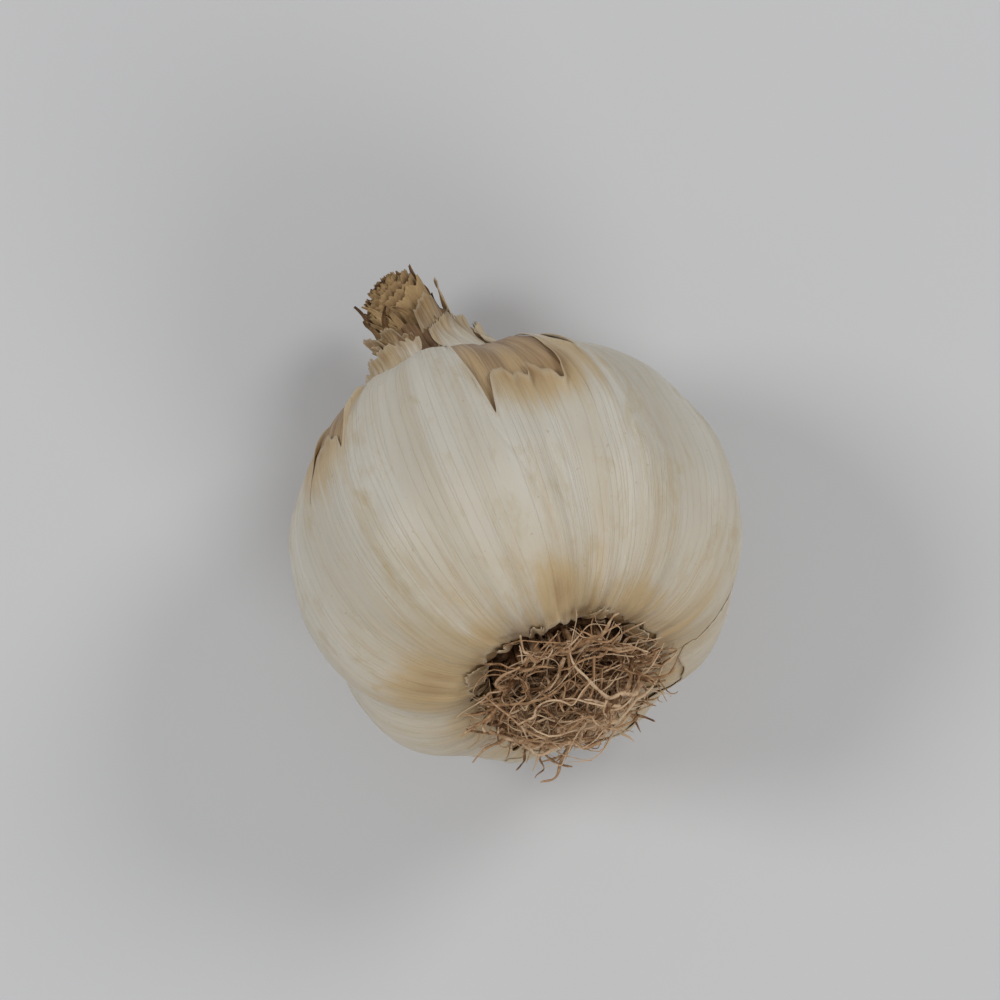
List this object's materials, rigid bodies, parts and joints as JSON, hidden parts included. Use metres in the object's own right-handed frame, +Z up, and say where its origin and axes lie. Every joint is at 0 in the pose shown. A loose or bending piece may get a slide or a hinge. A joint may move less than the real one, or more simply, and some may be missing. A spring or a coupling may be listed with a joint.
{
  "type": "garlic bulb",
  "caption": "Dried garlic bulb lying on its side: cloves in a papery white skin, a cut stub of rolled leaf sheaths at one end and a tuft of dried roots at the other.",
  "frame": {"origin": "centre of the bounding box on the table plane, under the bulb", "axes": "+Z up, +Y along the bulb from its root end towards its neck, +X to the right"},
  "size_m": [0.0526, 0.0666, 0.0502],
  "materials": {
    "papery_skin": "thin dry creamy white skin with fine veins along the bulb, tan blotches and a slight satin sheen",
    "dry_sheath": "dry tan to dark brown rolled leaf sheaths, matt, ragged where they were cut",
    "dried_root": "matt brown dried rootlets on a corky plate"
  },
  "bodies": {
    "root": {"bulb": "papery_skin", "neck": "dry_sheath", "roots": "dried_root"}
  },
  "joints": []
}
